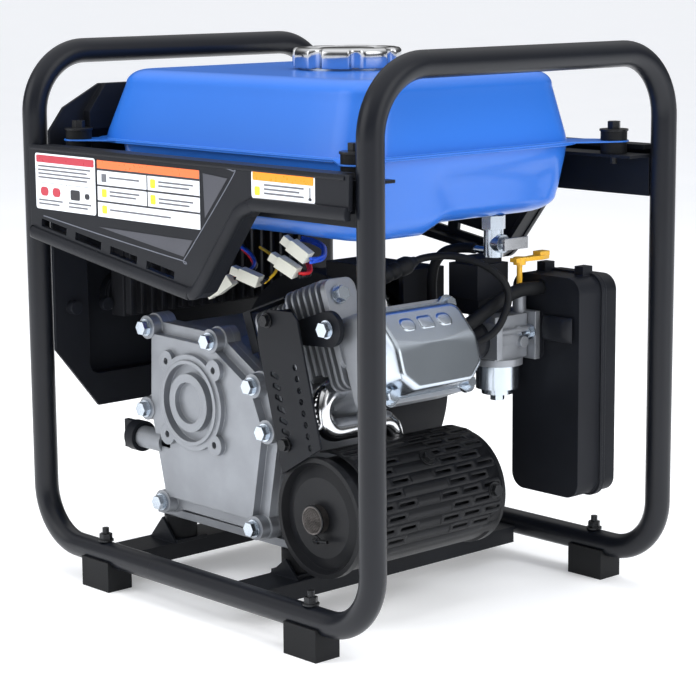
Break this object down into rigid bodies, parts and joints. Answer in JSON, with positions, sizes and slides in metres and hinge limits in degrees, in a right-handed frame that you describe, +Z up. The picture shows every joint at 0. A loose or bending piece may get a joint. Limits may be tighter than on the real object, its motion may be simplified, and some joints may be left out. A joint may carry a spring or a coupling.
{
  "type": "portable generator",
  "caption": "Open-frame portable inverter generator: tube frame, fuel tank, single-cylinder engine, muffler, air box, recoil starter and control panel.",
  "frame": {"origin": "centre of the overall box, on the ground under the four feet", "axes": "+Z up; -Y is the crankcase cover side, +X the valve cover side, -X the control side, +Y the recoil starter side"},
  "size_m": [0.461, 0.376, 0.4843],
  "materials": {
    "painted_tube": "satin black powder coat",
    "black_steel": "satin black paint",
    "black_bolt": "black oxide",
    "rubber": "matt moulded rubber",
    "black_plastic": "fine-grained moulded plastic",
    "tank_blue": "gloss blue paint",
    "zinc": "bright zinc plating",
    "chrome": "polished chrome",
    "cast_aluminium": "die-cast aluminium",
    "machined_steel": "machined steel",
    "exhaust_steel": "heat-resistant black paint",
    "mesh_steel": "heat-tinted wire mesh",
    "yellow_plastic": "yellow moulded plastic",
    "copper": "enamelled copper windings",
    "blue_plastic": "blue moulded plastic",
    "white_plastic": "off-white nylon",
    "foam": "oiled foam element",
    "red_plastic": "red rocker",
    "heatsink": "extruded aluminium",
    "wire": "insulated wire",
    "ceramic": "glazed ceramic"
  },
  "bodies": {
    "chassis": {"frame_hoop_left": "painted_tube", "frame_hoop_right": "painted_tube", "engine_rails": "black_steel", "rubber_feet": "rubber", "frame_bolts": "black_bolt", "side_panel_front": "black_plastic", "side_panel_rear": "black_plastic", "tank_beams": "black_steel", "tank_upper_shell": "tank_blue", "tank_lower_shell": "tank_blue", "filler_neck": "zinc", "tank_isolators": "rubber", "fuel_valve": "zinc", "fuel_hose": "rubber", "crankcase": "cast_aluminium", "crankcase_cover": "cast_aluminium", "engine_bolts": "zinc", "cylinder_head": "cast_aluminium", "valve_cover": "chrome", "spark_plug": "ceramic", "plug_boot": "rubber", "ignition_lead": "rubber", "engine_mounts": "rubber", "cooling_shroud": "black_steel", "exhaust_guard": "black_steel", "exhaust_pipe": "chrome", "muffler_body": "exhaust_steel", "heat_shield": "exhaust_steel", "spark_arrestor": "mesh_steel", "intake_insulator": "black_plastic", "carburetor_body": "cast_aluminium", "float_bowl": "zinc", "throttle_actuator": "black_plastic", "air_box_base": "black_plastic", "air_filter": "foam", "breather_hose": "rubber", "stator": "copper", "fan_shroud": "black_plastic", "recoil_cover": "blue_plastic", "control_panel": "black_plastic", "outlets": "white_plastic", "inverter_module": "heatsink", "wire_connectors": "white_plastic", "wiring": "wire"},
    "cap_lift": {"cap_seal": "rubber"},
    "fuel_cap": {"fuel_cap": "chrome"},
    "fuel_lever": {"fuel_valve_lever": "machined_steel"},
    "crank": {"crankshaft": "machined_steel", "rotor": "machined_steel"},
    "cam": {"camshaft": "machined_steel"},
    "piston": {"piston": "machined_steel", "connecting_rod": "machined_steel"},
    "dipstick": {"dipstick_cap": "black_plastic"},
    "choke": {"choke_lever": "yellow_plastic"},
    "air_cover": {"air_box_cover": "black_plastic"},
    "pulley": {"recoil_pulley": "white_plastic"},
    "starter_handle": {"recoil_handle": "black_plastic"},
    "run_switch": {"engine_switch": "red_plastic"},
    "eco_switch": {"economy_switch": "black_plastic"},
    "breaker": {"breaker_button": "black_plastic"}
  },
  "joints": [
    {"name": "cap_lift", "type": "slide", "parent": "chassis", "child": "cap_lift", "axis": [0, 0, 1], "range_m": [0, 0.06]},
    {"name": "cap_turn", "type": "hinge", "parent": "cap_lift", "child": "fuel_cap", "pos_m": [-0.008, 0.014, 0.465], "axis": [0, 0, 1], "range_deg": [0, 90]},
    {"name": "fuel_lever_turn", "type": "hinge", "parent": "chassis", "child": "fuel_lever", "pos_m": [0.134, 0.058, 0.312], "axis": [1, 0, 0], "range_deg": [-90, 0]},
    {"name": "crank_spin", "type": "hinge", "parent": "chassis", "child": "crank", "pos_m": [-0.0647, 0, 0.1703], "axis": [0, 1, 0], "continuous": true},
    {"name": "cam_spin", "type": "hinge", "parent": "chassis", "child": "cam", "pos_m": [-0.04108, 0, 0.12938], "axis": [0, 1, 0], "continuous": true},
    {"name": "piston_slide", "type": "slide", "parent": "chassis", "child": "piston", "axis": [0.9397, 0, 0.342], "range_m": [-0.054, 0]},
    {"name": "dipstick_turn", "type": "hinge", "parent": "chassis", "child": "dipstick", "pos_m": [-0.15, -0.114, 0.126], "axis": [-1, 0, 0], "range_deg": [0, 900]},
    {"name": "choke_turn", "type": "hinge", "parent": "chassis", "child": "choke", "pos_m": [0.126, 0.093, 0.29], "axis": [0, 0, 1], "range_deg": [-75, 0]},
    {"name": "air_cover_off", "type": "slide", "parent": "chassis", "child": "air_cover", "axis": [0, 1, 0], "range_m": [0, 0.05]},
    {"name": "starter_pull", "type": "slide", "parent": "chassis", "child": "starter_handle", "axis": [0, 1, 0], "range_m": [0, 0.6], "stiffness_N_per_m": 10, "springref_m": -0.2},
    {"name": "pulley_turn", "type": "hinge", "parent": "chassis", "child": "pulley", "pos_m": [-0.0647, 0.105, 0.1703], "axis": [0, 1, 0], "range_deg": [0, 770]},
    {"name": "run_switch_rock", "type": "hinge", "parent": "chassis", "child": "run_switch", "pos_m": [-0.217, 0.11, 0.34], "axis": [0, 1, 0], "range_deg": [0, 24]},
    {"name": "eco_switch_rock", "type": "hinge", "parent": "chassis", "child": "eco_switch", "pos_m": [-0.217, 0.07, 0.34], "axis": [0, 1, 0], "range_deg": [0, 24]},
    {"name": "breaker_press", "type": "slide", "parent": "chassis", "child": "breaker", "axis": [1, 0, 0], "range_m": [0, 0.003], "stiffness_N_per_m": 400, "springref_m": -0.001}
  ],
  "couplings": [
    {"joint": "cam_spin", "follows": "crank_spin", "ratio": -0.5},
    {"joint": "pulley_turn", "follows": "starter_pull", "rad_per_m": 22.222}
  ]
}
